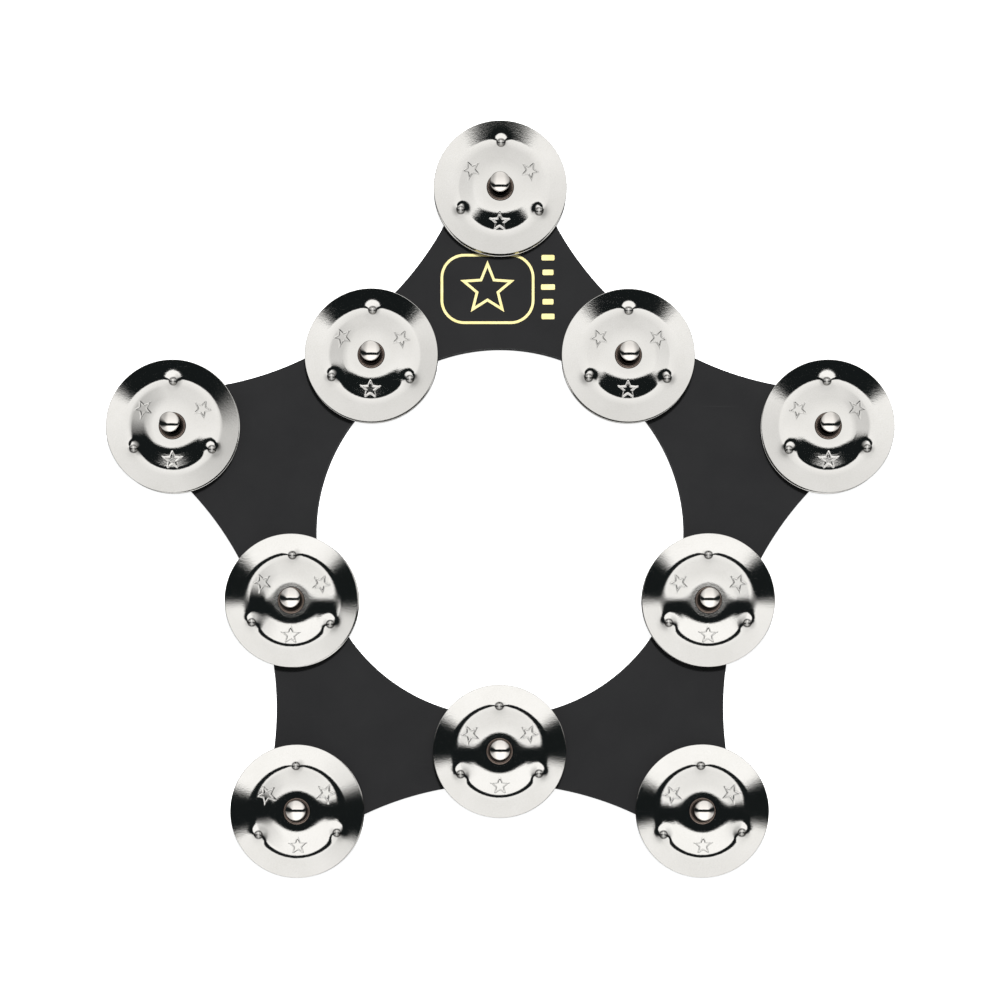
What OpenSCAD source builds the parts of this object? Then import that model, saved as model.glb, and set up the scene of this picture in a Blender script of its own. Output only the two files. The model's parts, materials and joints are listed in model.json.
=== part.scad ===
// Star tambourine that lies flat on a drum head. A five-pointed plate with hollow sides
// and a round window carries ten jingle stations: one near each point and one at each
// waist between two points. A station is a fixed pin with a pair of thin metal jingles,
// stacked crease to crease, that slide on it, and a domed cap pushed onto its end.
// Origin: the middle of the round window, on the plate's flat underside. +Z is up,
// towards the caps, and +Y points at the first star point.

/* [Star plate] */
// Thickness of the flat plate
plate_t = 3; // [2.5:0.5:6]
// Radius of the round window in the middle
window_r = 73.5; // [60:0.5:76]
// Distance from the middle to the centre of each hollow side's arc
side_centre_r = 227; // [222:1:235]
// Radius of each hollow side's arc
side_arc_r = 126.5; // [122:0.5:128]
// Radius of the rounding at each star point
point_round_r = 12; // [8:0.5:14]

/* [Stations] */
// Distance from the middle to the pins near the star points
point_pin_r = 137; // [134:0.5:140]
// Distance from the middle to the pins at the waists
waist_pin_r = 87; // [84:0.5:90]

/* [Jingles] */
// Outer diameter of a jingle
jingle_d = 53; // [50:0.5:54]
// Sheet thickness of a jingle
sheet_t = 0.6; // [0.4:0.1:0.8]
// Diameter of the hole in a jingle's hub
jingle_hole_d = 6.5; // [6:0.1:7.5]
// Outer diameter of the hem, where the sheet is folded back around the hole
hem_d = 10.6; // [9.6:0.1:12]
// Height of the hem above the hub
hem_h = 0.5; // [0.4:0.05:0.6]
// Diameter of the flat hub
hub_d = 18.4; // [17:0.2:20]
// Diameter of the crease, the ring where the dish meets the flange
crease_d = 36; // [34:0.5:38]
// Height of the hub above the crease
dish_h = 1.25; // [1.2:0.05:1.8]
// Height of the rim above the crease
flange_h = 1.15; // [0.8:0.05:1.2]
// Height that each of the three nibs stands out of the crease
nib_h = 0.7; // [0.5:0.05:0.8]

/* [Pins and caps] */
// Diameter of a pin where the jingles slide
pin_d = 5; // [4:0.1:5.4]
// Diameter of a pin's flat head, let into the plate's underside
pin_head_d = 9; // [8:0.5:11]
// Thickness of a pin's head
pin_head_t = 1.2; // [0.8:0.1:1.6]
// Free travel of a pair of jingles, up to the cap
free_play = 5.4; // [4:0.1:6]
// Diameter of a cap
cap_d = 7.9; // [7.6:0.1:9]
// Height of a cap's straight side
cap_side_h = 0.9; // [0.7:0.1:2]
// Radius of curvature of a cap's shallow dome
cap_dome_r = 12; // [8:0.5:16]

/* [Hidden] */
$fn = 96;
point_count = 5;
// Clearance between parts that rest on each other but move apart
rest_gap = 0.05;
// Radial clearance between fixed parts
fixed_gap = 0.02;
// Amount by which a cutting shape runs past the face that it cuts
over = 1;

first_point_angle = 90;
step_angle = 360 / point_count;
half_step_angle = step_angle / 2;

// A hollow side's centre, measured along a star point's axis and away from it
side_axis_r = side_centre_r * cos(half_step_angle);
side_offset = side_centre_r * sin(half_step_angle);
// Each star point's round touches the two hollow sides beside it. This small overlap
// keeps the round and the sides crossing instead of only touching.
round_bite = 0.02;
point_round_centre_r = side_axis_r
    - sqrt(pow(side_arc_r + point_round_r - round_bite, 2) - pow(side_offset, 2));
touch_angle = atan2(side_offset, side_axis_r - point_round_centre_r);

// Nibs are pressed with a round-nosed punch, so both faces are parts of spheres
nib_punch_r = 2.4;
nib_outer_r = nib_punch_r + sheet_t;
nib_centre_z = sheet_t - nib_h + nib_punch_r;
nib_blank_r = 2.4;
nib_blank_top_z = 0.75 * sheet_t;
nib_count = 3;

// Heights of the faces of the two creases at rest, from the plate's underside up
lower_crease_z = plate_t + rest_gap + hem_h + sheet_t + dish_h;
upper_crease_z = lower_crease_z + 2 * nib_h + rest_gap;
hem_top_z = upper_crease_z + dish_h + sheet_t + hem_h;

// The hem's outer side leans in by this much towards its top
hem_lean = 0.15;

// The cap sits on the shoulder where the pin steps down to its neck
shoulder_z = hem_top_z + free_play;
neck_d = 3.8;
neck_len = 0.9;
neck_end_gap = 0.1;

// Centre of a cap's dome, measured up from the cap's foot
dome_centre_z = cap_side_h - sqrt(pow(cap_dome_r, 2) - pow(cap_d / 2, 2));

// Direction of star point k, and of the waist that follows it, counted anticlockwise
function point_angle(k) = first_point_angle + (k - 1) * step_angle;
function waist_angle(k) = point_angle(k) + half_step_angle;

function on_circle(radius, angle) = [radius * cos(angle), radius * sin(angle), 0];
function point_pin(k) = on_circle(point_pin_r, point_angle(k));
function waist_pin(k) = on_circle(waist_pin_r, waist_angle(k));

module at_every_pin() {
    for (k = [1:point_count]) {
        translate(point_pin(k)) children();
        translate(waist_pin(k)) children();
    }
}

// Where the round of star point k touches the hollow side on one hand of it, -1 or 1
function touch_point(k, hand) =
    on_circle(point_round_centre_r, point_angle(k))
    + on_circle(point_round_r, point_angle(k) + hand * touch_angle);

// Rough star that reaches into the middle of every hollow side; the sides are cut from it
module star_blank() {
    corners = [for (k = [1:point_count]) each [
        touch_point(k, -1),
        touch_point(k, 1),
        on_circle(side_axis_r, waist_angle(k))
    ]];
    linear_extrude(plate_t) polygon([for (c = corners) [c.x, c.y]]);
    for (k = [1:point_count])
        translate(on_circle(point_round_centre_r, point_angle(k)))
            cylinder(r = point_round_r, h = plate_t);
}

module hollow_sides() {
    for (k = [1:point_count])
        translate(on_circle(side_centre_r, waist_angle(k)))
            translate([0, 0, -over])
                cylinder(r = side_arc_r, h = plate_t + 2 * over, $fn = 360);
}

module pin_seat() {
    translate([0, 0, -over])
        cylinder(d = pin_d + 2 * fixed_gap, h = plate_t + 2 * over);
    translate([0, 0, -over])
        cylinder(d = pin_head_d + 2 * fixed_gap, h = pin_head_t + over);
}

module star_plate() {
    color([0.2, 0.2, 0.2])
        difference() {
            star_blank();
            hollow_sides();
            translate([0, 0, -over])
                cylinder(r = window_r, h = plate_t + 2 * over, $fn = 360);
            at_every_pin() pin_seat();
        }
}

module jingle_pin() {
    cylinder(d = pin_head_d, h = pin_head_t);
    cylinder(d = pin_d, h = shoulder_z);
    cylinder(d = neck_d, h = shoulder_z + neck_len);
}

module jingle_pins() {
    color([0.74, 0.71, 0.66]) at_every_pin() jingle_pin();
}

// Cap with a short straight side and a shallow dome. A blind hole grips the pin's neck.
module retaining_cap() {
    difference() {
        intersection() {
            cylinder(d = cap_d, h = cap_dome_r);
            translate([0, 0, dome_centre_z]) sphere(r = cap_dome_r);
        }
        translate([0, 0, -over])
            cylinder(d = neck_d + 2 * fixed_gap, h = neck_len + neck_end_gap + over);
    }
}

module retaining_caps() {
    color([0.8, 0.76, 0.7])
        at_every_pin() translate([0, 0, shoulder_z]) retaining_cap();
}

// Section of the pressed sheet, from the hemmed hole out to the rim. Its zero height is
// the underside of the crease.
module jingle_section() {
    hole_r = jingle_hole_d / 2;
    hem_r = hem_d / 2;
    hub_r = hub_d / 2;
    crease_r = crease_d / 2;
    rim_r = jingle_d / 2;
    polygon([
        [hole_r, dish_h],
        [hub_r, dish_h],
        [crease_r, 0],
        [rim_r, flange_h],
        [rim_r, flange_h + sheet_t],
        [crease_r, sheet_t],
        [hub_r, dish_h + sheet_t],
        [hem_r, dish_h + sheet_t],
        [hem_r - hem_lean, dish_h + sheet_t + hem_h],
        [hole_r, dish_h + sheet_t + hem_h]
    ]);
}

module at_every_nib() {
    for (i = [0:nib_count - 1])
        translate(on_circle(crease_d / 2, first_point_angle + i * 360 / nib_count))
            children();
}

// A jingle with its crease down and its nibs standing out below the crease
module jingle() {
    difference() {
        union() {
            rotate_extrude() jingle_section();
            at_every_nib()
                intersection() {
                    translate([0, 0, nib_centre_z]) sphere(r = nib_outer_r);
                    translate([0, 0, -over]) cylinder(r = nib_blank_r, h = over + nib_blank_top_z);
                }
        }
        at_every_nib() translate([0, 0, nib_centre_z]) sphere(r = nib_punch_r);
    }
}

// The lower jingle of a pair lies hub down, so that its nibs face those of the upper one
module lower_jingle(pin) {
    color([0.78, 0.78, 0.76])
        translate(pin + [0, 0, lower_crease_z]) mirror([0, 0, 1]) jingle();
}

module upper_jingle(pin) {
    color([0.84, 0.84, 0.82])
        translate(pin + [0, 0, upper_crease_z]) jingle();
}

star_plate();
jingle_pins();
retaining_caps();
lower_jingle(point_pin(1));  // lower_jingle_point_1
lower_jingle(point_pin(2));  // lower_jingle_point_2
lower_jingle(point_pin(3));  // lower_jingle_point_3
lower_jingle(point_pin(4));  // lower_jingle_point_4
lower_jingle(point_pin(5));  // lower_jingle_point_5
lower_jingle(waist_pin(1));  // lower_jingle_waist_1
lower_jingle(waist_pin(2));  // lower_jingle_waist_2
lower_jingle(waist_pin(3));  // lower_jingle_waist_3
lower_jingle(waist_pin(4));  // lower_jingle_waist_4
lower_jingle(waist_pin(5));  // lower_jingle_waist_5
upper_jingle(point_pin(1));  // upper_jingle_point_1
upper_jingle(point_pin(2));  // upper_jingle_point_2
upper_jingle(point_pin(3));  // upper_jingle_point_3
upper_jingle(point_pin(4));  // upper_jingle_point_4
upper_jingle(point_pin(5));  // upper_jingle_point_5
upper_jingle(waist_pin(1));  // upper_jingle_waist_1
upper_jingle(waist_pin(2));  // upper_jingle_waist_2
upper_jingle(waist_pin(3));  // upper_jingle_waist_3
upper_jingle(waist_pin(4));  // upper_jingle_waist_4
upper_jingle(waist_pin(5));  // upper_jingle_waist_5
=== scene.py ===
"""Looks of the star tambourine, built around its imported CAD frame. Lengths are in metres."""

import json
import math
import random

import bmesh
import bpy
import numpy as np
from mathutils import Euler, Matrix, Vector


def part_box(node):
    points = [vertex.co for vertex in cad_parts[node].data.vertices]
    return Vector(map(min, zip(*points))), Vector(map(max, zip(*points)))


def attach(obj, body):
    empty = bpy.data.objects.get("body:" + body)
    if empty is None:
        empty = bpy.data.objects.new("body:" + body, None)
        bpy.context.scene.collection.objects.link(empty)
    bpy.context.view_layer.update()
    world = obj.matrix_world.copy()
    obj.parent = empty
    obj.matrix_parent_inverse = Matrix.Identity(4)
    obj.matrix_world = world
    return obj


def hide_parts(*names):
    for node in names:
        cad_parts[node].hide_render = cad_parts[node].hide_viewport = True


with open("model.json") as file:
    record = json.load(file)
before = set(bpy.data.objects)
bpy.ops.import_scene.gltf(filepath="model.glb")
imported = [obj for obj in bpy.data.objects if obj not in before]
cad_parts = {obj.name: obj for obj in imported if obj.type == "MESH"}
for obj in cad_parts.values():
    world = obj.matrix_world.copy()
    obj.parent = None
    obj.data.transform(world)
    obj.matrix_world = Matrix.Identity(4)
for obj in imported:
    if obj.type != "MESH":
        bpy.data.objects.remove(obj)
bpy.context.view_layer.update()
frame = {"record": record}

MM = 0.001
POINTS = 5
STEP_ANGLE = math.radians(72)
FIRST_POINT = math.radians(90)

# Sizes that the frame gives
PLATE_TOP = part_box("star_plate")[1].z
WINDOW_R = next(m["dims"]["r_mm"] for m in frame["record"]["mounts"] if m["name"] == "central_window") * MM
UPPER_LOW, UPPER_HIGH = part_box("upper_jingle_point_1")
LOWER_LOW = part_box("lower_jingle_point_1")[0]
CAPS_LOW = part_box("retaining_caps")[0]
JINGLE_R = (UPPER_HIGH.x - UPPER_LOW.x) / 2
POINT_PIN_R = (UPPER_LOW.y + UPPER_HIGH.y) / 2
WAIST_PIN_R = -(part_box("upper_jingle_waist_3")[0].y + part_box("upper_jingle_waist_3")[1].y) / 2

# Outline of the star plate
SIDE_CENTRE_R = 227 * MM
SIDE_ARC_R = 126.5 * MM
POINT_ROUND_R = 12 * MM
PLATE_EDGE_ROUND = 0.35 * MM

# Section of a jingle
SHEET_T = 0.6 * MM
SHEET_EDGE_ROUND = 0.2 * MM
HOLE_R = 3.25 * MM
HUB_R = 9.2 * MM
CREASE_R = 18 * MM
DISH_H = 1.25 * MM
FLANGE_H = 1.15 * MM
HUB_BEND = 2.3 * MM
CREASE_BEND = 1.8 * MM

# Hem folded around a jingle's hole. Each ridge has the radii of its crown, inner foot and outer foot
HEM_R = 5.3 * MM
HEM_H = 0.5 * MM
OUTER_RIDGE = (0.93 * HEM_R, 0.86 * HEM_R, HEM_R)
INNER_RIDGE = (0.79 * HEM_R, 0.55 * HEM_R, 0.9 * HEM_R)
INNER_RIDGE_H = 0.86 * HEM_H

# Nibs on the crease: a wide soft dimple with a ball-shaped pit in it, shallower on the underside
NIB_DIRECTIONS = [math.radians(a) for a in (90, 210, 330)]
NIB_DIMPLE_DEPTH = 0.5 * MM
NIB_DIMPLE_SPREAD = 1.7 * MM
NIB_PIT_R = 1.6 * MM
NIB_BALL_R = 2.4 * MM
NIB_THINNING = 0.63

# Stamps in the dish of each jingle
STAMP_DIRECTIONS = [math.radians(a) for a in (30, 150, 270)]
STAMP_R = 13.6 * MM
STAMP_DEPTH = 0.18 * MM
STAMP_STAR_R = 3.3 * MM
STAMP_NOTCH_R = 1.5 * MM
STAMP_STROKE = 0.55 * MM

# Painted shade on a jingle: where it lies, and how black it is, from 0 to 1. It lies under the cap, along
# the hem's outer foot and in the nibs' pits on the upper face, and on the rim's rounded edge
UNDER_CAP_SHADE_R = 4.55 * MM
HEM_FOOT_SHADE_REACH = 0.13 * MM
NIB_SHADE_R = 1.5 * MM
NIB_SHADE_REACH = 0.45 * MM
NIB_WALL_SHADE = 0.8
NIB_FLOOR_SHADE = 0.3
RIM_SHADE = 0.6

# Rings of vertices on a jingle's two faces, as spans of (start, end, spacing) in millimetres of radius,
# and a third of its spokes, as spans of (start, end, spacing) in degrees. Both are closest together
# over the finest features: the hem's ridges, the stamps and the nibs
TOP_INNER_RINGS = [3.44 * MM]
TOP_SPANS = [
    (3.58, 5.23, 0.075),
    (5.23, 5.55, 0.04),
    (5.55, 7.1, 0.3),
    (7.1, 11.3, 0.6),
    (11.3, 18.6, 0.17),
    (18.6, 22.0, 0.27),
    (22.0, 26.0, 0.8),
]
UNDER_INNER_RINGS = [3.46 * MM, 3.62 * MM]
UNDER_SPANS = [
    (4.2, 14.6, 1.0),
    (14.6, 21.8, 0.4),
    (21.8, 26.0, 1.0),
]
OUTER_RINGS = [26.0 * MM, 26.2 * MM, 26.28 * MM]
SPOKE_SPANS = [
    (-30, -16, 0.8),
    (-16, 16, 3),
    (16, 44, 0.65),
    (44, 76, 3),
    (76, 90, 0.8),
]

# Pins and caps
PIN_R = 2.5 * MM
NECK_R = 1.9 * MM
NECK_LEN = 0.9 * MM
NECK_END_GAP = 0.1 * MM
NECK_CHAMFER = 0.2 * MM
HEAD_R = 4.5 * MM
HEAD_T = 1.2 * MM
HEAD_CHAMFER = 0.25 * MM
FIXED_GAP = 0.02 * MM
CAP_R = 3.95 * MM
CAP_SIDE_H = 0.9 * MM
CAP_DOME_R = 12 * MM
CAP_EDGE_ROUND = 0.35 * MM
CAP_FOOT_ROUND = 0.25 * MM
CAP_BORE_CHAMFER = 0.15 * MM
SEAT_EDGE_ROUND = 0.15 * MM
# Points this close to a sharp corner keep it crisp under smooth shading
CORNER_GAP = 0.03 * MM
CHAMFER_GAP = 0.05 * MM

# Printed emblem
PRINT_T = 0.04 * MM
PRINT_SINK = 0.02 * MM
PRINT_STROKE = 1.05 * MM
EMBLEM_CENTRE = (-5.0 * MM, 97.5 * MM, 0)
EMBLEM_FRAME_W = 36.5 * MM
EMBLEM_FRAME_H = 27 * MM
EMBLEM_FRAME_ROUND = 9 * MM
EMBLEM_STAR_R = 10 * MM
EMBLEM_NOTCH_R = 4.4 * MM
BAR_COUNT = 5
BAR_X = 19.2 * MM
BAR_LOW_Y = 86.5 * MM
BAR_HIGH_Y = 110 * MM
BAR_HEIGHT = 2.2 * MM
BAR_WIDTHS = [5.2 * MM, 4.4 * MM, 5.6 * MM, 4.4 * MM, 5.2 * MM]
BAR_CORNER_R = 0.5 * MM

# How far some of the upper jingles lean about X and Y, in degrees. The others lean at random
LEANS = {
    "point_1": (0.5, 0.1),
    "point_2": (-0.35, 0.1),
    "point_3": (0.35, -0.2),
    "point_4": (-0.5, 0),
    "point_5": (-0.3, -0.2),
    "waist_2": (1.3, 0.2),
    "waist_4": (1.2, -0.2),
    "waist_5": (-0.7, 0.1),
}
# The most that loose jingles lean and spin, in degrees, and drift off their pins
LOOSE_LEAN = 0.25
LOOSE_SPIN = 2
LOOSE_DRIFT_X = 0.2 * MM
LOOSE_DRIFT_Y = 0.15 * MM
# The star was last held upright, so its jingles have slid towards its lower points
SAG = 0.5 * MM

# Dark slot between the studio's two tents: its edges are in degrees from overhead towards +Y. Past
# SLOT_WIDENS degrees to either side of its middle it widens and softens, by so much per degree
SLOT_NEAR = 2.8
SLOT_FAR = -7.1
SLOT_SOFT = 0.9
SLOT_SIDE_MIDDLE = 2.5
SLOT_WIDENS = 19.5
SLOT_NEAR_GROWTH = 0.87
SLOT_FAR_GROWTH = 0.3
SLOT_SOFT_GROWTH = 0.4
SLOT_LIGHT = 0.012
SLOT_TINT = (0.8, 1.0, 1.05)

# Brightness of the two tents. The far one dims down to an angle in degrees from overhead, both dim
# between two angles to either side, and all fades to the horizon between two heights of a ray
NEAR_TENT = 1.22
FAR_TENT = 1.16
FAR_TENT_LOW = 0.85
FAR_TENT_LOW_AT = 35
SIDES_DIM_FROM = 15
SIDES_DIM_TO = 30
SIDES_DIM = 0.55
HORIZON_LIGHT = 0.06
HORIZON_LOW = -0.05
HORIZON_HIGH = 0.5
ROOM_LIGHT = 0.3

# Floor, and the lamp that casts the shadows
FLOOR_GLOW = 0.9
FLOOR_HALF_WIDTH = 6.0
FLOOR_DROP = 0.3 * MM
KEY_SIZE = 0.12
KEY_POWER = 16
KEY_PLACE = (0.04, 0.29, 1.03)

# Camera: it hangs straight down over a place near the star's lower edge, and a lens shift
# brings the star to the middle of the picture
CAMERA_Y = -91 * MM
VIEW_CENTRE_Y = 13.1 * MM
VIEW_WIDTH = 0.4
VIEW_DISTANCE = 0.8


def stations():
    """Name and place of each jingle station: the star points, then the waists, anticlockwise."""
    found = []
    for k in range(POINTS):
        angle = FIRST_POINT + k * STEP_ANGLE
        waist = angle + STEP_ANGLE / 2
        found.append((f"point_{k + 1}", Vector((math.cos(angle), math.sin(angle), 0)) * POINT_PIN_R))
        found.append((f"waist_{k + 1}", Vector((math.cos(waist), math.sin(waist), 0)) * WAIST_PIN_R))
    return found


STATIONS = stations()


# ---------------------------------------------------------------- mesh helpers

def smoothstep(x):
    x = np.clip(x, 0, 1)
    return x * x * (3 - 2 * x)


def new_mesh(name, verts, faces, smooth=True):
    mesh = bpy.data.meshes.new(name)
    mesh.from_pydata([tuple(v) for v in verts], [], [tuple(int(i) for i in f) for f in faces])
    mesh.polygons.foreach_set("use_smooth", [smooth] * len(mesh.polygons))
    mesh.update()
    return mesh


def new_object(name, mesh, material):
    """Puts a mesh in the scene as a piece of the object, with its material and material slot."""
    if not mesh.materials:
        mesh.materials.append(material)
    piece = bpy.data.objects.new(name, mesh)
    bpy.context.scene.collection.objects.link(piece)
    return piece


def lathe(name, profile, segments):
    """Turns a list of (radius, height) about Z. Points with no radius become poles."""
    verts, faces, rings = [], [], []
    turn = [2 * math.pi * i / segments for i in range(segments)]
    for radius, height in profile:
        if radius < 1e-9:
            rings.append([len(verts)] * segments)
            verts.append((0, 0, height))
        else:
            rings.append(list(range(len(verts), len(verts) + segments)))
            verts += [(radius * math.cos(a), radius * math.sin(a), height) for a in turn]
    for low, high in zip(rings, rings[1:]):
        for i in range(segments):
            j = (i + 1) % segments
            corners = [low[i], high[i], high[j], low[j]]
            faces.append(list(dict.fromkeys(corners)))
    return new_mesh(name, verts, faces)


def arc(centre_r, centre_z, radius, start, end, steps):
    """Points of a round in a section, from one angle in degrees to another."""
    points = []
    for i in range(steps + 1):
        a = math.radians(start + (end - start) * i / steps)
        points.append((centre_r + radius * math.cos(a), centre_z + radius * math.sin(a)))
    return points


# ---------------------------------------------------------------- materials

class Nodes:
    """Short way to add and join shader nodes."""

    def __init__(self, tree):
        self.tree = tree
        tree.nodes.clear()

    def add(self, kind, inputs=None, **settings):
        node = self.tree.nodes.new(kind)
        for key, value in settings.items():
            setattr(node, key, value)
        for key, value in (inputs or {}).items():
            self.feed(node.inputs[key], value)
        return node

    def feed(self, socket, value):
        """Joins another node's output to a socket, or sets the socket to a plain value."""
        if isinstance(value, bpy.types.NodeSocket):
            self.tree.links.new(value, socket)
        else:
            socket.default_value = value

    def math(self, operation, a, b=0.0):
        return self.add("ShaderNodeMath", {0: a, 1: b}, operation=operation).outputs[0]

    def noise(self, vector, scale, detail=2.0, roughness=0.5):
        inputs = {"Vector": vector, "Scale": scale, "Detail": detail, "Roughness": roughness}
        return self.add("ShaderNodeTexNoise", inputs).outputs["Fac"]

    def remap(self, value, low, high, to_low, to_high, interpolation="LINEAR"):
        inputs = {"Value": value, "From Min": low, "From Max": high, "To Min": to_low, "To Max": to_high}
        return self.add("ShaderNodeMapRange", inputs, interpolation_type=interpolation).outputs["Result"]

    def blend(self, factor, a, b):
        mix = self.add("ShaderNodeMix", data_type="RGBA")
        for name, kind, value in (("Factor", "VALUE", factor), ("A", "RGBA", a), ("B", "RGBA", b)):
            self.feed(next(s for s in mix.inputs if (s.name, s.type) == (name, kind)), value)
        return next(s for s in mix.outputs if s.type == "RGBA")

    def bump(self, height, distance, strength=1.0, normal=None):
        inputs = {"Height": height, "Strength": strength, "Distance": distance}
        if normal is not None:
            inputs["Normal"] = normal
        return self.add("ShaderNodeBump", inputs).outputs["Normal"]

    def finish(self, surface):
        self.add("ShaderNodeOutputMaterial", {"Surface": surface})


def new_material(name):
    material = bpy.data.materials.new(name)
    material.use_nodes = True
    return material, Nodes(material.node_tree)


def rgb(red, green, blue):
    return (red, green, blue, 1.0)


def radius_of(nodes, vector):
    """Distance from the Z axis of the piece's own frame."""
    flat = nodes.add("ShaderNodeVectorMath", {0: vector, 1: (1, 1, 0)}, operation="MULTIPLY")
    return nodes.add("ShaderNodeVectorMath", {0: flat.outputs[0]}, operation="LENGTH").outputs["Value"]


def stretched(nodes, vector, turn, along, across):
    """Coordinates turned about Z and scaled unevenly, so that a noise becomes thin straight streaks."""
    inputs = {"Vector": vector, "Rotation": (0, 0, turn), "Scale": (along, across, 1)}
    return nodes.add("ShaderNodeMapping", inputs).outputs[0]


def jingle_metal():
    """Nickel-plated steel sheet: fine rolled grain, faint turned rings, hairline scratches and smudges.
    The hem around the hole has lost its plating and is stained brown. Near-black painted shade lies under
    the cap, along the hem's outer foot, in the nibs' pits and on the rim."""
    material, n = new_material("jingle_metal")
    place = n.add("ShaderNodeTexCoord").outputs["Object"]
    one = n.add("ShaderNodeObjectInfo").outputs["Random"]
    shift = n.math("MULTIPLY", one, 3.0)
    shifted = n.add("ShaderNodeVectorMath", {0: place, 1: shift}, operation="ADD").outputs[0]
    hem = n.add("ShaderNodeAttribute", attribute_name="hem").outputs["Fac"]
    painted_shade = n.add("ShaderNodeAttribute", attribute_name="painted_shade").outputs["Fac"]
    grain = n.noise(shifted, scale=3000, detail=3, roughness=0.6)
    ripple = n.noise(shifted, scale=1400, detail=1)
    smudge = n.noise(shifted, scale=90, detail=3, roughness=0.55)
    turned = n.add("ShaderNodeCombineXYZ", {"X": radius_of(n, place), "Y": one}).outputs[0]
    rings = n.noise(turned, scale=5200)
    scratch = n.remap(n.noise(stretched(n, shifted, 0.6, 60, 4200), scale=1), 0.69, 0.74, 0, 1)
    rough = n.math("ADD", n.remap(smudge, 0.35, 0.7, 0.035, 0.05), n.math("MULTIPLY", scratch, 0.06))
    rough = n.math("ADD", rough, n.math("MULTIPLY", hem, 0.35))
    dull = n.math("ADD", n.remap(smudge, 0.3, 0.75, 0, 0.6), n.remap(grain, 0.3, 0.7, -0.3, 0.7))
    colour = n.blend(dull, rgb(0.80, 0.785, 0.755), rgb(0.73, 0.715, 0.68))
    stain = n.blend(n.noise(shifted, scale=900), rgb(0.34, 0.26, 0.215), rgb(0.46, 0.37, 0.32))
    colour = n.blend(hem, colour, stain)
    # Painted shade: near black under the cap, along the hem's outer foot, in the nibs' pits and on the rim
    colour = n.blend(n.math("MULTIPLY", painted_shade, 0.93), colour, rgb(0.02, 0.017, 0.015))
    normal = n.bump(grain, distance=0.005 * MM)
    normal = n.bump(ripple, distance=0.003 * MM, normal=normal)
    normal = n.bump(rings, distance=0.0005 * MM, normal=normal)
    normal = n.bump(scratch, distance=0.0005 * MM, strength=-1.0, normal=normal)
    inputs = {"Base Color": colour, "Metallic": 1.0, "Roughness": rough, "Normal": normal}
    n.finish(n.add("ShaderNodeBsdfPrincipled", inputs).outputs[0])
    return material


def cap_metal():
    """Polished warm nickel with a little orange peel, darker in colour and rougher towards the foot of its
    side.
    """
    material, n = new_material("cap_metal")
    place = n.add("ShaderNodeTexCoord").outputs["Object"]
    height = n.add("ShaderNodeSeparateXYZ", {0: place}).outputs["Z"]
    low = n.remap(height, 0.2 * CAP_SIDE_H, CAP_SIDE_H, 1, 0)
    peel = n.noise(place, scale=700)
    smudge = n.noise(place, scale=350, detail=3)
    colour = n.blend(low, rgb(0.90, 0.86, 0.81), rgb(0.50, 0.45, 0.41))
    rough = n.math("ADD", n.remap(smudge, 0.3, 0.7, 0.03, 0.07), n.math("MULTIPLY", low, 0.12))
    normal = n.bump(peel, distance=0.006 * MM)
    inputs = {"Base Color": colour, "Metallic": 1.0, "Roughness": rough, "Normal": normal}
    n.finish(n.add("ShaderNodeBsdfPrincipled", inputs).outputs[0])
    return material


def pin_metal():
    """Steel coloured near black as painted shade for the hollow under the cap, with turning marks that run
    around the shaft and the head.
    """
    material, n = new_material("pin_metal")
    place = n.add("ShaderNodeTexCoord").outputs["Object"]
    height = n.add("ShaderNodeSeparateXYZ", {0: place}).outputs["Z"]
    section = n.add("ShaderNodeCombineXYZ", {"X": radius_of(n, place), "Y": height}).outputs[0]
    marks = n.noise(section, scale=6500, detail=3, roughness=0.6)
    smudge = n.noise(place, scale=500, detail=3)
    # Painted shade: the pin's near-black colour stands for the shade in the hollow under the cap
    colour = n.blend(n.remap(smudge, 0.3, 0.7, 0, 1), rgb(0.055, 0.05, 0.048), rgb(0.10, 0.09, 0.082))
    rough = n.remap(marks, 0.3, 0.7, 0.22, 0.36)
    normal = n.bump(marks, distance=0.006 * MM)
    inputs = {"Base Color": colour, "Metallic": 1.0, "Roughness": rough, "Normal": normal}
    n.finish(n.add("ShaderNodeBsdfPrincipled", inputs).outputs[0])
    return material


def plate_plastic():
    """Matt charcoal moulding: fine texture, faint mottling, light scuffs, and paler along its rounded
    edges.
    """
    material, n = new_material("plate_plastic")
    place = n.add("ShaderNodeTexCoord").outputs["Object"]
    texture = n.noise(place, scale=3200, detail=3, roughness=0.6)
    mottle = n.noise(place, scale=45, detail=4, roughness=0.6)
    scuff = n.remap(n.noise(stretched(n, place, 1.1, 25, 1500), scale=1), 0.72, 0.8, 0, 1)
    # Paler along the rounded edges, unevenly
    paler_edge = n.add("ShaderNodeAttribute", attribute_name="edge").outputs["Fac"]
    paler_edge = n.math("MULTIPLY", paler_edge, n.remap(n.noise(place, scale=400, detail=3), 0.35, 0.6, 0.35, 1))
    patch = n.remap(mottle, 0.3, 0.7, 0, 1)
    colour = n.blend(patch, rgb(0.0150, 0.0150, 0.0156), rgb(0.0185, 0.0185, 0.0190))
    colour = n.blend(n.math("MULTIPLY", scuff, 0.35), colour, rgb(0.036, 0.036, 0.037))
    colour = n.blend(n.math("MULTIPLY", paler_edge, 0.6), colour, rgb(0.055, 0.055, 0.056))
    rough = n.remap(mottle, 0.3, 0.7, 0.5, 0.6)
    normal = n.bump(texture, distance=0.012 * MM)
    inputs = {"Base Color": colour, "Roughness": rough, "Specular IOR Level": 0.1, "Normal": normal}
    n.finish(n.add("ShaderNodeBsdfPrincipled", inputs).outputs[0])
    return material


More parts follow.
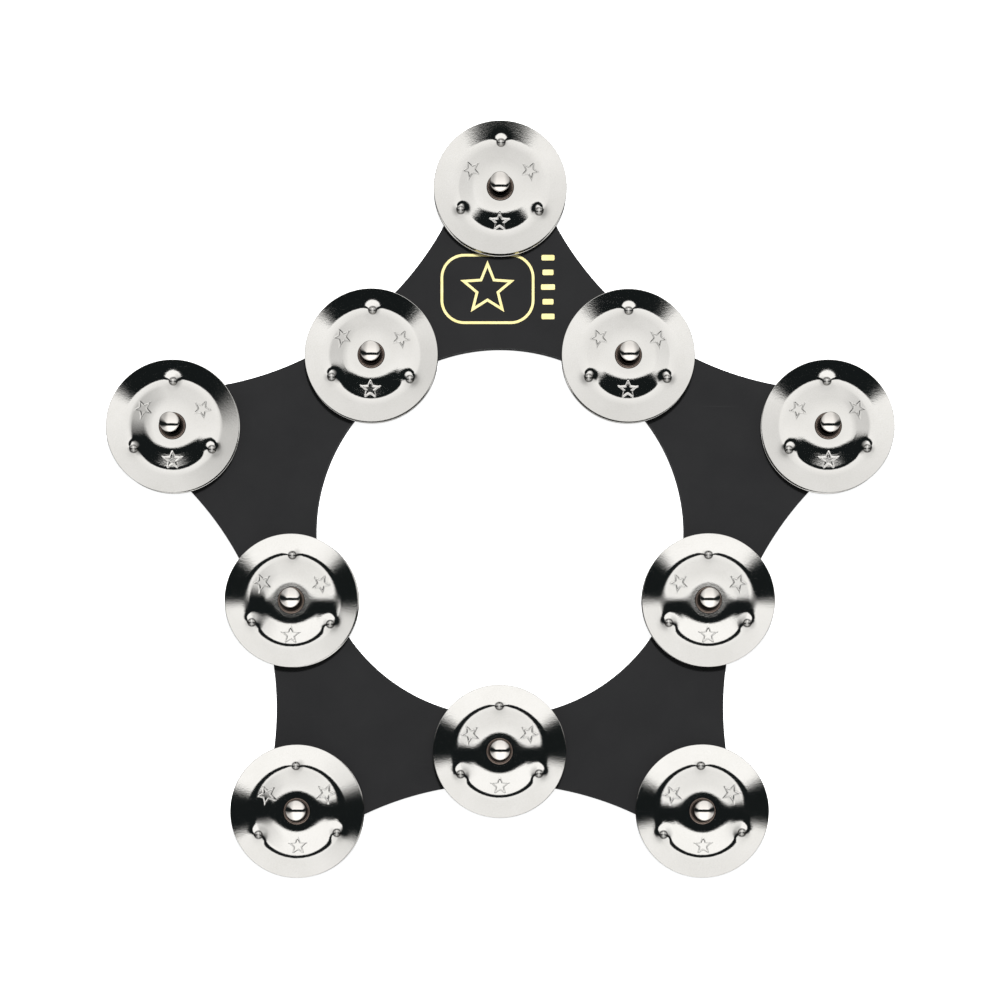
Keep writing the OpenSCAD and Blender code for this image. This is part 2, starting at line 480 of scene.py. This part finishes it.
def gold_print():
    """Pale gold ink, a little uneven, with a fine flake."""
    material, n = new_material("gold_print")
    place = n.add("ShaderNodeTexCoord").outputs["Object"]
    flake = n.noise(place, scale=4200)
    cover = n.noise(place, scale=260, detail=3)
    colour = n.blend(n.remap(cover, 0.3, 0.7, 0, 1), rgb(0.95, 0.86, 0.43), rgb(0.88, 0.74, 0.33))
    rough = n.remap(flake, 0.3, 0.7, 0.34, 0.5)
    normal = n.bump(flake, distance=0.006 * MM)
    inputs = {"Base Color": colour, "Metallic": 0.35, "Roughness": rough, "Normal": normal}
    n.finish(n.add("ShaderNodeBsdfPrincipled", inputs).outputs[0])
    return material


def floor_paper():
    """Smooth white paper on a light table, which glows through it."""
    material, n = new_material("floor_paper")
    place = n.add("ShaderNodeTexCoord").outputs["Object"]
    fibre = n.noise(place, scale=1800, detail=3)
    colour = n.blend(fibre, rgb(0.93, 0.93, 0.93), rgb(0.95, 0.95, 0.95))
    normal = n.bump(fibre, distance=0.01 * MM, strength=0.4)
    inputs = {"Base Color": colour, "Roughness": 0.9, "Specular IOR Level": 0.1, "Normal": normal}
    inputs |= {"Emission Color": colour, "Emission Strength": FLOOR_GLOW}
    n.finish(n.add("ShaderNodeBsdfPrincipled", inputs).outputs[0])
    return material


# ---------------------------------------------------------------- star plate

def arc_edge(centre, radius, start, end, spacing, side):
    """Points along an arc of an outline, each with its direction out of the material: away from
    the arc's centre if side is 1, towards it if side is -1."""
    steps = math.ceil(abs(end - start) * radius / spacing)
    edge = []
    for i in range(steps):
        angle = start + (end - start) * i / steps
        ray = Vector((math.cos(angle), math.sin(angle), 0))
        edge.append((centre + ray * radius, ray * side))
    return edge


def star_edge():
    """The plate's outer edge, anticlockwise: a round at each point, then a hollow side."""
    half = STEP_ANGLE / 2
    side_axis = SIDE_CENTRE_R * math.cos(half)
    side_offset = SIDE_CENTRE_R * math.sin(half)
    round_centre_r = side_axis - math.sqrt((SIDE_ARC_R + POINT_ROUND_R) ** 2 - side_offset ** 2)
    touch = math.atan2(side_offset, side_axis - round_centre_r)
    sweep = touch - half
    edge = []
    for k in range(POINTS):
        point = FIRST_POINT + k * STEP_ANGLE
        waist = point + half
        tip = Vector((math.cos(point), math.sin(point), 0)) * round_centre_r
        hollow = Vector((math.cos(waist), math.sin(waist), 0)) * SIDE_CENTRE_R
        inward = waist + math.pi
        edge += arc_edge(tip, POINT_ROUND_R, point - touch, point + touch, spacing=0.8 * MM, side=1)
        edge += arc_edge(hollow, SIDE_ARC_R, inward + sweep, inward - sweep, spacing=1.2 * MM, side=-1)
    return edge


def round_edge(centre, radius, spacing):
    """The edge of a round hole in the plate."""
    return arc_edge(centre, radius, 0, 2 * math.pi, spacing, -1)


def wall_section(low, high, low_round, high_round):
    """Section of a cut edge from its lower to its upper face, as (distance in, height, how pale the edge
    is).
    """
    section = []
    for i in range(5):
        a = math.radians(90 - 22.5 * i)
        rise = low_round * (1 - math.sin(a))
        section.append((low_round * (1 - math.cos(a)), low + rise, min(i, 1)))
    for i in range(5):
        a = math.radians(22.5 * i)
        drop = high_round * (1 - math.sin(a))
        section.append((high_round * (1 - math.cos(a)), high - drop, min(4 - i, 1)))
    return section


def add_wall(bm, edge_paleness, edge, section):
    """Adds a cut edge to the plate. Returns its lowest and its highest loop of vertices."""
    loops = []
    for inset, height, amount in section:
        loop = []
        for place, outward in edge:
            vert = bm.verts.new(place - outward * inset + Vector((0, 0, height)))
            vert[edge_paleness] = amount
            loop.append(vert)
        loops.append(loop)
    for low, high in zip(loops, loops[1:]):
        for i in range(len(low)):
            bm.faces.new((low[i - 1], low[i], high[i], high[i - 1])).smooth = True
    return loops[0], loops[-1]


def fill_between(bm, loops):
    """Closes the flat face bounded by the loops with triangles."""
    edges = []
    for loop in loops:
        edges += [bm.edges.get((loop[i - 1], loop[i])) or bm.edges.new((loop[i - 1], loop[i]))
                  for i in range(len(loop))]
    bmesh.ops.triangle_fill(bm, edges=edges, use_beauty=True)


def plate_mesh():
    """Star plate with rounded edges, a round window and a stepped seat for each pin."""
    bm = bmesh.new()
    edge_paleness = bm.verts.layers.float.new("edge")
    outer_section = wall_section(0, PLATE_TOP, PLATE_EDGE_ROUND, PLATE_EDGE_ROUND)
    walls = [
        add_wall(bm, edge_paleness, star_edge(), outer_section),
        add_wall(bm, edge_paleness, round_edge(Vector(), WINDOW_R, spacing=1.0 * MM), outer_section),
    ]
    low_loops = [low for low, high in walls]
    high_loops = [high for low, high in walls]
    for name, pin in STATIONS:
        seat = round_edge(pin, HEAD_R + FIXED_GAP, spacing=0.6 * MM)
        bore = round_edge(pin, PIN_R + FIXED_GAP, spacing=0.35 * MM)
        seat_low, seat_high = add_wall(bm, edge_paleness, seat, wall_section(0, HEAD_T, SEAT_EDGE_ROUND, 0))
        bore_low, bore_high = add_wall(bm, edge_paleness, bore, wall_section(HEAD_T, PLATE_TOP, 0, SEAT_EDGE_ROUND))
        fill_between(bm, [seat_high, bore_low])
        low_loops.append(seat_low)
        high_loops.append(bore_high)
    fill_between(bm, low_loops)
    fill_between(bm, high_loops)
    bmesh.ops.remove_doubles(bm, verts=bm.verts, dist=1e-7)
    bmesh.ops.recalc_face_normals(bm, faces=bm.faces)
    mesh = bpy.data.meshes.new("star_plate_skin")
    bm.to_mesh(mesh)
    bm.free()
    return mesh


def build_plate(material):
    plate = new_object("plate_skin", plate_mesh(), material)
    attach(plate, "star_frame")
    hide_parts("star_plate")


# ---------------------------------------------------------------- printed emblem

def star_corners(radius, notch_radius):
    """Corners of a five-pointed star with one point up."""
    corners = []
    for i in range(2 * POINTS):
        angle = math.pi / 2 + i * math.pi / POINTS
        reach = notch_radius if i % 2 else radius
        corners.append(Vector((math.cos(angle), math.sin(angle), 0)) * reach)
    return corners


def offset_loop(corners, distance):
    """Moves a closed outline sideways by a distance, with mitred corners."""
    moved = []
    for i, corner in enumerate(corners):
        before = (corner - corners[i - 1]).normalized()
        after = (corners[(i + 1) % len(corners)] - corner).normalized()
        before_out = Vector((before.y, -before.x, 0))
        after_out = Vector((after.y, -after.x, 0))
        miter = (before_out + after_out).normalized()
        moved.append(corner + miter * (distance / miter.dot(before_out)))
    return moved


def add_print(bm, outer, inner, low, high):
    """Adds a thin printed shape. With an inner loop it is a band, without one it is solid."""
    loops = [outer] if inner is None else [outer, inner]
    rings = []
    for loop in loops:
        rings.append([[bm.verts.new(p + Vector((0, 0, z))) for p in loop] for z in (low, high)])
    for bottom, top in rings:
        for i in range(len(bottom)):
            bm.faces.new((bottom[i - 1], bottom[i], top[i], top[i - 1]))
    if inner is None:
        bm.faces.new(rings[0][0])
        bm.faces.new(rings[0][1])
        return
    for level in (0, 1):
        out_ring, in_ring = rings[0][level], rings[1][level]
        for i in range(len(out_ring)):
            bm.faces.new((out_ring[i - 1], out_ring[i], in_ring[i], in_ring[i - 1]))


def rounded_box(width, height, corner_r, steps):
    """Outline of a rectangle with rounded corners."""
    corners = []
    for quarter, (sx, sy) in enumerate(((1, 1), (-1, 1), (-1, -1), (1, -1))):
        centre = Vector((sx * (width / 2 - corner_r), sy * (height / 2 - corner_r), 0))
        for i in range(steps + 1):
            a = math.radians(90 * quarter + 90 * i / steps)
            corners.append(centre + Vector((math.cos(a), math.sin(a), 0)) * corner_r)
    return corners


def emblem_mesh():
    """Outlined star inside a rounded frame, with a column of short bars beside it."""
    bm = bmesh.new()
    low = PLATE_TOP - PRINT_SINK
    high = PLATE_TOP + PRINT_T
    centre = Vector(EMBLEM_CENTRE)
    star = star_corners(EMBLEM_STAR_R, EMBLEM_NOTCH_R)
    frame_outline = rounded_box(EMBLEM_FRAME_W, EMBLEM_FRAME_H, EMBLEM_FRAME_ROUND, steps=12)
    for outline in (star, frame_outline):
        outer = [centre + p for p in offset_loop(outline, PRINT_STROKE / 2)]
        inner = [centre + p for p in offset_loop(outline, -PRINT_STROKE / 2)]
        add_print(bm, outer, inner, low, high)
    for i in range(BAR_COUNT):
        y = BAR_LOW_Y + i * (BAR_HIGH_Y - BAR_LOW_Y) / (BAR_COUNT - 1)
        bar = rounded_box(BAR_WIDTHS[i], BAR_HEIGHT, BAR_CORNER_R, steps=4)
        add_print(bm, [Vector((BAR_X, y, 0)) + p for p in bar], None, low, high)
    bmesh.ops.recalc_face_normals(bm, faces=bm.faces)
    mesh = bpy.data.meshes.new("emblem")
    bm.to_mesh(mesh)
    bm.free()
    return mesh


def build_emblem(material):
    emblem = new_object("printed_emblem", emblem_mesh(), material)
    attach(emblem, "star_frame")


# ---------------------------------------------------------------- jingles

def spaced(start, end, step):
    """Evenly spaced values from start up to, but not including, end."""
    count = max(1, round((end - start) / step))
    return [start + (end - start) * i / count for i in range(count)]


def spoke_angles():
    """Directions of the jingle mesh's spokes: the same spans three times around."""
    third = [angle for span in SPOKE_SPANS for angle in spaced(*span)]
    return np.radians([angle + turn for turn in (0, 120, 240) for angle in third])


def face_radii(inner_rings, spans):
    """Radii of the rings on one face of the jingle mesh, from the hole out."""
    across = [radius * MM for span in spans for radius in spaced(*span)]
    return inner_rings + across + OUTER_RINGS


def sheet_rings():
    """Rings of the jingle mesh as (radius, height from the middle of the sheet, is on top)."""
    round_r = SHEET_EDGE_ROUND
    middle = SHEET_T / 2 - round_r
    quarter = [math.radians(a) for a in (0, 30, 60, 90)]
    hole_edge = [(HOLE_R + round_r * (1 - math.cos(a)), middle + round_r * math.sin(a)) for a in quarter]
    rim_edge = [(JINGLE_R - round_r * (1 - math.cos(a)), middle + round_r * math.sin(a)) for a in quarter]
    top = face_radii(TOP_INNER_RINGS, TOP_SPANS)
    under = face_radii(UNDER_INNER_RINGS, UNDER_SPANS)
    rings = [(r, z, True) for r, z in hole_edge]
    rings += [(r, SHEET_T / 2, True) for r in top]
    rings += [(r, z, True) for r, z in reversed(rim_edge)]
    rings += [(r, -z, False) for r, z in rim_edge]
    rings += [(r, -SHEET_T / 2, False) for r in reversed(under)]
    rings += [(r, -z, False) for r, z in reversed(hole_edge)]
    return rings


def bend(r, at, half_width):
    """Climb of a line that turns from level to a slope of one around radius at."""
    x = np.clip(r - at + half_width, 0, 2 * half_width)
    return x * x / (4 * half_width) + np.maximum(r - at - half_width, 0)


def sheet_height(r):
    """Height of the sheet's middle above the underside of the sharp crease."""
    dish_slope = DISH_H / (CREASE_R - HUB_R)
    flange_slope = FLANGE_H / (JINGLE_R - CREASE_R)
    fall = dish_slope * bend(r, HUB_R, HUB_BEND)
    rise = (dish_slope + flange_slope) * bend(r, CREASE_R, CREASE_BEND)
    return DISH_H + SHEET_T / 2 - fall + rise


def bead(r, crown, inner, outer, height):
    """Rounded ridge with its crown at one radius, falling to nothing at an inner and an outer one."""
    reach = np.where(r < crown, crown - inner, outer - crown)
    return height * np.sqrt(np.clip(1 - ((r - crown) / reach) ** 2, 0, 1))


def hem_height(r):
    """Height of the folded hem around the hole: an outer ridge and a lower one that dips into the hole."""
    outer = bead(r, *OUTER_RIDGE, HEM_H)
    inner = bead(r, *INNER_RIDGE, INNER_RIDGE_H)
    return np.where(r < HEM_R, np.maximum(outer, inner), 0)


def nib_distances(x, y):
    """Distance from points to the middle of each nib."""
    return [np.hypot(x - CREASE_R * math.cos(a), y - CREASE_R * math.sin(a)) for a in NIB_DIRECTIONS]


def nib_depth(x, y):
    """How far the three nibs press the sheet down."""
    depth = np.zeros_like(x)
    for far in nib_distances(x, y):
        depth += NIB_DIMPLE_DEPTH * np.exp(-0.5 * (far / NIB_DIMPLE_SPREAD) ** 2)
        pit_far = np.minimum(far, NIB_PIT_R)
        depth += np.sqrt(NIB_BALL_R ** 2 - pit_far ** 2) - math.sqrt(NIB_BALL_R ** 2 - NIB_PIT_R ** 2)
    return depth


def nib_painted_shade(x, y):
    """How much painted shade the nibs' pits get: most around the foot of the wall, less on the bottom."""
    painted_shade = np.zeros_like(x)
    for far in nib_distances(x, y):
        wall = smoothstep(1 - np.abs(far - NIB_SHADE_R) / NIB_SHADE_REACH)
        painted_shade += NIB_WALL_SHADE * wall + NIB_FLOOR_SHADE * (1 - smoothstep(far / NIB_SHADE_R))
    return np.clip(painted_shade, 0, 1)


def distance_to_line(x, y, start, end):
    """Distance from points to a straight stroke."""
    along = end - start
    t = ((x - start.x) * along.x + (y - start.y) * along.y) / along.length_squared
    t = np.clip(t, 0, 1)
    return np.hypot(x - start.x - t * along.x, y - start.y - t * along.y)


def stamp_depth(x, y):
    """How deep the three small stamps, each an outlined star, are struck in the dish."""
    depth = np.zeros_like(x)
    star = star_corners(STAMP_STAR_R, STAMP_NOTCH_R)
    for a in STAMP_DIRECTIONS:
        across = y * math.cos(a) - x * math.sin(a)
        inward = STAMP_R - x * math.cos(a) - y * math.sin(a)
        near = np.full_like(x, STAMP_R)
        for i, corner in enumerate(star):
            near = np.minimum(near, distance_to_line(across, inward, star[i - 1], corner))
        depth += STAMP_DEPTH * smoothstep(1 - near / (STAMP_STROKE / 2))
    return depth


def ring_painted_shade(radius, x, y, on_top):
    """How much painted shade a ring of the jingle mesh gets, from 0 to 1, for each of its vertices."""
    # Painted shade: full on the upper face under and just around the cap, and a thin dark line along the
    # hem's outer foot
    in_hem_shade = radius < UNDER_CAP_SHADE_R or abs(radius - HEM_R) < HEM_FOOT_SHADE_REACH
    if on_top and in_hem_shade:
        return np.ones_like(x)
    # Painted shade: the rim's rounded edge is darkened on both faces
    if radius > JINGLE_R - SHEET_EDGE_ROUND / 2:
        return np.full_like(x, RIM_SHADE)
    return nib_painted_shade(x, y) * on_top


def ring_faces(ring_count, count):
    """Faces that join rings of vertices into a closed skin, the last ring to the first."""
    faces = []
    for ring in range(ring_count):
        low = ring * count
        high = (ring + 1) % ring_count * count
        for i in range(count):
            j = (i + 1) % count
            faces.append((low + i, high + i, high + j, low + j))
    return faces


def jingle_mesh():
    """Pressed sheet disc: hemmed hole, hub, dish, crease and flange, with three nibs and three stamps."""
    spokes = spoke_angles()
    count = len(spokes)
    rings = sheet_rings()
    verts, on_hem, shade_amounts = [], [], []
    for radius, offset, on_top in rings:
        x = radius * np.cos(spokes)
        y = radius * np.sin(spokes)
        z = sheet_height(np.full_like(x, radius)) + offset
        if on_top:
            z += hem_height(radius) - nib_depth(x, y) - stamp_depth(x, y)
        else:
            z -= nib_depth(x, y) * NIB_THINNING
        verts += list(zip(x, y, z))
        on_hem += [float(on_top and radius < HEM_R)] * count
        shade_amounts += list(ring_painted_shade(radius, x, y, on_top))
    mesh = new_mesh("jingle", verts, ring_faces(len(rings), count))
    mesh.attributes.new("hem", "FLOAT", "POINT").data.foreach_set("value", on_hem)
    mesh.attributes.new("painted_shade", "FLOAT", "POINT").data.foreach_set("value", shade_amounts)
    return mesh


def within(chance, limit):
    """Random value between a limit and its opposite."""
    return chance.uniform(-limit, limit)


def loose_place(chance, pin, height):
    """Where a loose jingle lies on its pin: a little off centre, and slid down."""
    return pin + Vector((within(chance, LOOSE_DRIFT_X), within(chance, LOOSE_DRIFT_Y) - SAG, height))


def build_jingles(material):
    """Every station's pair. Each jingle lies a little off level and off centre, as loose ones do."""
    mesh = jingle_mesh()
    upper_z = UPPER_HIGH.z - DISH_H - SHEET_T - HEM_H
    lower_z = LOWER_LOW.z + DISH_H + SHEET_T + HEM_H
    chance = random.Random(20)
    for name, pin in STATIONS:
        random_lean = (within(chance, LOOSE_LEAN), within(chance, LOOSE_LEAN))
        lean = Vector([math.radians(a) for a in LEANS.get(name, random_lean)])
        tilt = Euler((lean.x, lean.y, 0)).to_matrix()
        lift = CREASE_R * math.sin(lean.length)
        upper = new_object(f"upper_jingle_skin_{name}", mesh, material)
        upper.location = loose_place(chance, pin, upper_z + lift)
        spin = math.radians(within(chance, LOOSE_SPIN))
        upper.rotation_euler = (tilt @ Matrix.Rotation(spin, 3, "Z")).to_euler()
        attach(upper, f"upper_{name}")
        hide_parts(f"upper_jingle_{name}")
        lower = new_object(f"lower_jingle_skin_{name}", mesh, material)
        lower.location = loose_place(chance, pin, lower_z)
        lower.rotation_euler = (0, math.pi, math.radians(within(chance, LOOSE_SPIN)))
        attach(lower, f"lower_{name}")
        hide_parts(f"lower_jingle_{name}")


# ---------------------------------------------------------------- pins and caps

def pin_profile():
    """Pin from the middle of its flat head's face up to the middle of its neck's end."""
    shoulder = CAPS_LOW.z
    end = shoulder + NECK_LEN
    profile = [(0, 0), (HEAD_R - HEAD_CHAMFER, 0), (HEAD_R, HEAD_CHAMFER), (HEAD_R, HEAD_T)]
    profile += [(PIN_R, HEAD_T), (PIN_R, shoulder), (NECK_R, shoulder)]
    profile += [(NECK_R, end - NECK_CHAMFER), (NECK_R - NECK_CHAMFER, end), (0, end)]
    return sharpened(profile, CORNER_GAP)


def sharpened(profile, gap):
    """Adds points close to each corner of a section, so that smooth shading keeps it crisp."""
    points = [profile[0]]
    for before, corner, after in zip(profile, profile[1:], profile[2:]):
        corner = Vector(corner)
        points.append(tuple(corner + (Vector(before) - corner).normalized() * gap))
        points.append(tuple(corner + (Vector(after) - corner).normalized() * gap))
    return points + [profile[-1]]


def cap_profile():
    """Cap from its dome's top, down its side and across its flat foot, into the blind hole."""
    dome_z = CAP_SIDE_H - math.sqrt(CAP_DOME_R ** 2 - CAP_R ** 2)
    bore_r = NECK_R + FIXED_GAP
    bore_h = NECK_LEN + NECK_END_GAP
    round_r = CAP_EDGE_ROUND
    foot_r = CAP_FOOT_ROUND
    edge_tilt = math.asin((CAP_R - round_r) / (CAP_DOME_R - round_r))
    edge_z = dome_z + (CAP_DOME_R - round_r) * math.cos(edge_tilt)
    edge_angle = 90 - math.degrees(edge_tilt)
    profile = [(0, dome_z + CAP_DOME_R)]
    profile += arc(0, dome_z, CAP_DOME_R, 88.5, edge_angle, steps=11)
    profile += arc(CAP_R - round_r, edge_z, round_r, edge_angle, 0, steps=6)[1:]
    profile += arc(CAP_R - foot_r, foot_r, foot_r, 0, -90, steps=5)
    profile += [(CAP_R - foot_r - CHAMFER_GAP, 0)]
    profile += [(bore_r + CAP_BORE_CHAMFER + CHAMFER_GAP, 0), (bore_r + CAP_BORE_CHAMFER, 0)]
    profile += [(bore_r, CAP_BORE_CHAMFER), (bore_r, CAP_BORE_CHAMFER + CHAMFER_GAP)]
    profile += [(bore_r, bore_h - CORNER_GAP), (bore_r - CORNER_GAP, bore_h), (0, bore_h)]
    return profile


def build_pins_and_caps(pin_material, cap_material):
    pin_skin = lathe("jingle_pin", pin_profile(), segments=72)
    cap_skin = lathe("retaining_cap", cap_profile(), segments=96)
    for name, pin in STATIONS:
        post = new_object(f"jingle_pin_{name}", pin_skin, pin_material)
        post.location = pin
        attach(post, "star_frame")
        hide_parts("jingle_pins")
        cap = new_object(f"retaining_cap_{name}", cap_skin, cap_material)
        cap.location = pin + Vector((0, 0, CAPS_LOW.z))
        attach(cap, "star_frame")
        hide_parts("retaining_caps")


# ---------------------------------------------------------------- studio

def build_floor(material):
    half = FLOOR_HALF_WIDTH
    corners = [(-half, -half, 0), (half, -half, 0), (half, half, 0), (-half, half, 0)]
    floor = bpy.data.objects.new("floor", new_mesh("floor", corners, [(0, 1, 2, 3)], False))
    floor.data.materials.append(material)
    floor.location.z = -FLOOR_DROP
    floor.visible_glossy = False
    bpy.context.scene.collection.objects.link(floor)


def outside_slot(n, lean, side):
    """0 in the dark slot, 1 outside it, for a ray's angles towards +Y and away from the slot's middle."""
    spread = n.math("MAXIMUM", n.math("SUBTRACT", side, SLOT_WIDENS), 0)
    near_edge = n.math("ADD", n.math("MULTIPLY", spread, SLOT_NEAR_GROWTH), SLOT_NEAR)
    far_edge = n.math("SUBTRACT", SLOT_FAR, n.math("MULTIPLY", spread, SLOT_FAR_GROWTH))
    past = n.math("MAXIMUM", n.math("SUBTRACT", lean, near_edge), n.math("SUBTRACT", far_edge, lean))
    soft = n.math("ADD", n.math("MULTIPLY", spread, SLOT_SOFT_GROWTH), SLOT_SOFT)
    return n.remap(n.math("DIVIDE", past, soft), -1, 1, 0, 1)


def tent_light(n, lean, side):
    """Brightness of the two tents, for the same two angles."""
    far_tent = n.remap(lean, 0, FAR_TENT_LOW_AT, FAR_TENT, FAR_TENT_LOW)
    nearer = n.math("MULTIPLY", n.math("LESS_THAN", lean, 0), NEAR_TENT - FAR_TENT)
    tent = n.math("ADD", far_tent, nearer)
    return n.math("MULTIPLY", tent, n.remap(side, SIDES_DIM_FROM, SIDES_DIM_TO, 1, SIDES_DIM))


def build_world():
    """Studio seen by polished metal: two white tents with a dark slot between them, and a dark horizon."""
    world = bpy.data.worlds.new("studio")
    world.use_nodes = True
    bpy.context.scene.world = world
    n = Nodes(world.node_tree)
    ray = n.add("ShaderNodeSeparateXYZ", {0: n.add("ShaderNodeTexCoord").outputs["Generated"]})
    lean = n.math("DEGREES", n.math("ARCTAN2", ray.outputs["Y"], ray.outputs["Z"]))
    side = n.math("DEGREES", n.math("ARCTAN2", ray.outputs["X"], ray.outputs["Z"]))
    side = n.math("ABSOLUTE", n.math("SUBTRACT", side, SLOT_SIDE_MIDDLE))
    outside = outside_slot(n, lean, side)
    lit = n.math("MULTIPLY", outside, tent_light(n, lean, side))
    above = n.remap(ray.outputs["Z"], HORIZON_LOW, HORIZON_HIGH, HORIZON_LIGHT, 1, "SMOOTHSTEP")
    glossy = n.math("MULTIPLY", n.math("MAXIMUM", lit, SLOT_LIGHT), above)
    path = n.add("ShaderNodeLightPath")
    camera_ray = path.outputs["Is Camera Ray"]
    strength = n.remap(path.outputs["Is Glossy Ray"], 0, 1, ROOM_LIGHT, glossy)
    strength = n.remap(camera_ray, 0, 1, strength, 1.0)
    untinted = n.math("MAXIMUM", n.remap(outside, 0, 0.1, 0, 1), camera_ray)
    colour = n.blend(untinted, rgb(*SLOT_TINT), rgb(1, 1, 1))
    background = n.add("ShaderNodeBackground", {"Color": colour, "Strength": strength})
    n.add("ShaderNodeOutputWorld", {"Surface": background.outputs[0]})


def build_key_light():
    """Soft lamp beyond the far edge, for the short shadows that fall towards the viewer."""
    data = bpy.data.lights.new("key", "AREA")
    data.shape = "DISK"
    data.size = KEY_SIZE
    data.energy = KEY_POWER
    key = bpy.data.objects.new("key", data)
    key.location = KEY_PLACE
    key.rotation_euler = Vector(KEY_PLACE).to_track_quat("Z", "Y").to_euler()
    key.visible_glossy = False
    key.visible_camera = False
    bpy.context.scene.collection.objects.link(key)


def build_camera():
    """Looks straight down. The lens shift only holds while the camera stays at this place."""
    data = bpy.data.cameras.new("camera")
    data.sensor_fit = "HORIZONTAL"
    data.angle = 2 * math.atan(VIEW_WIDTH / 2 / VIEW_DISTANCE)
    data.clip_start = 0.01
    data.clip_end = 30
    camera = bpy.data.objects.new("camera", data)
    camera.location = (0, CAMERA_Y, PLATE_TOP + VIEW_DISTANCE)
    bpy.context.scene.collection.objects.link(camera)
    bpy.context.scene.camera = camera
    driver = data.driver_add("shift_y").driver
    place = driver.variables.new()
    place.name = "y"
    place.type = "TRANSFORMS"
    place.targets[0].id = camera
    place.targets[0].transform_type = "LOC_Y"
    shift = (VIEW_CENTRE_Y - CAMERA_Y) / VIEW_WIDTH
    driver.expression = f"{shift:.4f} if abs(y - {CAMERA_Y:.4f}) < 0.001 else 0"


def main():
    build_plate(plate_plastic())
    build_emblem(gold_print())
    build_jingles(jingle_metal())
    build_pins_and_caps(pin_metal(), cap_metal())
    build_floor(floor_paper())
    build_world()
    build_key_light()
    build_camera()
    bpy.context.scene.view_settings.view_transform = "Standard"


main()
